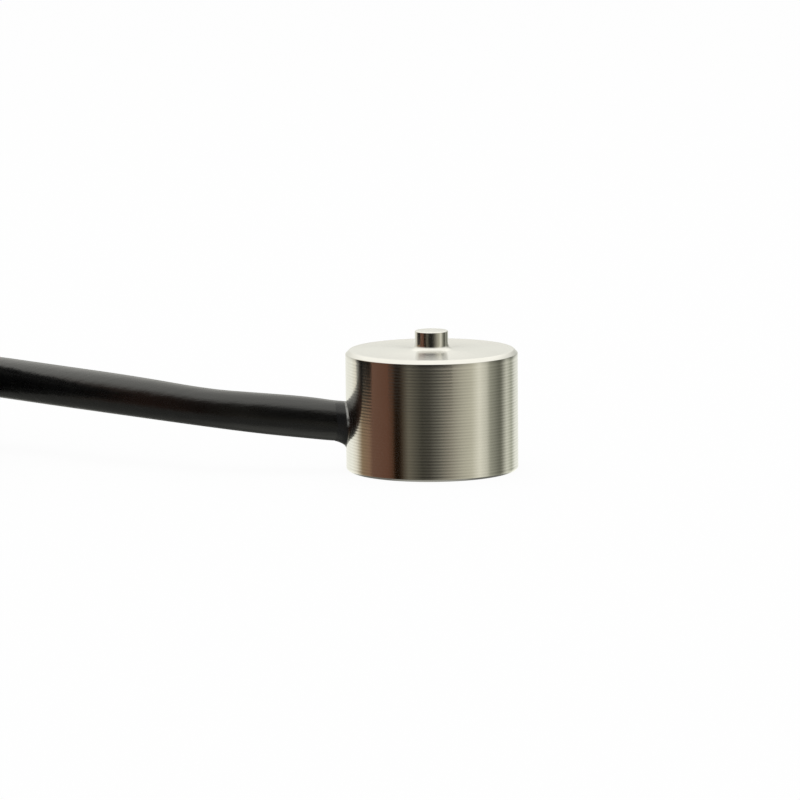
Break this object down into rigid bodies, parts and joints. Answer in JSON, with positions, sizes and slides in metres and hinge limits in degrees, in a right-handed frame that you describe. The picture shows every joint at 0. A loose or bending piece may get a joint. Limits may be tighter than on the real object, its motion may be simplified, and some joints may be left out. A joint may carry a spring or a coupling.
{
  "type": "button load cell",
  "caption": "Round steel button load cell with a raised load button on top and a black signal cable leaving its side.",
  "frame": {"origin": "centre of the standing face of the round body", "axes": "+Z along the axis of the load button, away from the standing face; the cable leaves along -X"},
  "size_m": [0.1267, 0.0268, 0.0167],
  "materials": {
    "body_steel": "fine turned, satin",
    "cover_steel": "fine turned, satin",
    "cable_jacket": "matt",
    "sealant": "smooth",
    "tie": "smooth",
    "sleeve": "satin",
    "wire_red": "smooth",
    "wire_black": "smooth",
    "wire_green": "smooth",
    "wire_white": "smooth",
    "tinned_copper": "stranded",
    "ferrule_brass": "smooth",
    "board": "satin",
    "pad_gold": "smooth",
    "solder": "bright",
    "resistor": "matt",
    "gauge_film": "clear amber",
    "gauge_foil": "bright"
  },
  "bodies": {
    "root": {"spring_body": "body_steel", "base_cover": "cover_steel", "gauge_film_1": "gauge_film", "gauge_film_2": "gauge_film", "gauge_film_3": "gauge_film", "gauge_film_4": "gauge_film", "gauge_foil_1": "gauge_foil", "gauge_foil_2": "gauge_foil", "gauge_foil_3": "gauge_foil", "gauge_foil_4": "gauge_foil", "gauge_wires": "tinned_copper", "terminal_board": "board", "board_pads": "pad_gold", "zero_resistor": "resistor", "span_resistor": "resistor", "balance_resistor": "resistor", "core_solder": "solder", "core_red": "wire_red", "core_black": "wire_black", "core_green": "wire_green", "core_white": "wire_white", "shield_braid": "tinned_copper", "crimp_ferrule": "ferrule_brass", "exit_sealant": "sealant", "cable_lead": "cable_jacket", "cable_hank": "cable_jacket", "hank_tie": "tie", "cable_tail": "cable_jacket", "end_sleeve": "sleeve", "lead_red": "wire_red", "lead_black": "wire_black", "lead_green": "wire_green", "lead_white": "wire_white", "drain_wire": "tinned_copper", "lead_tips": "tinned_copper"}
  },
  "joints": []
}
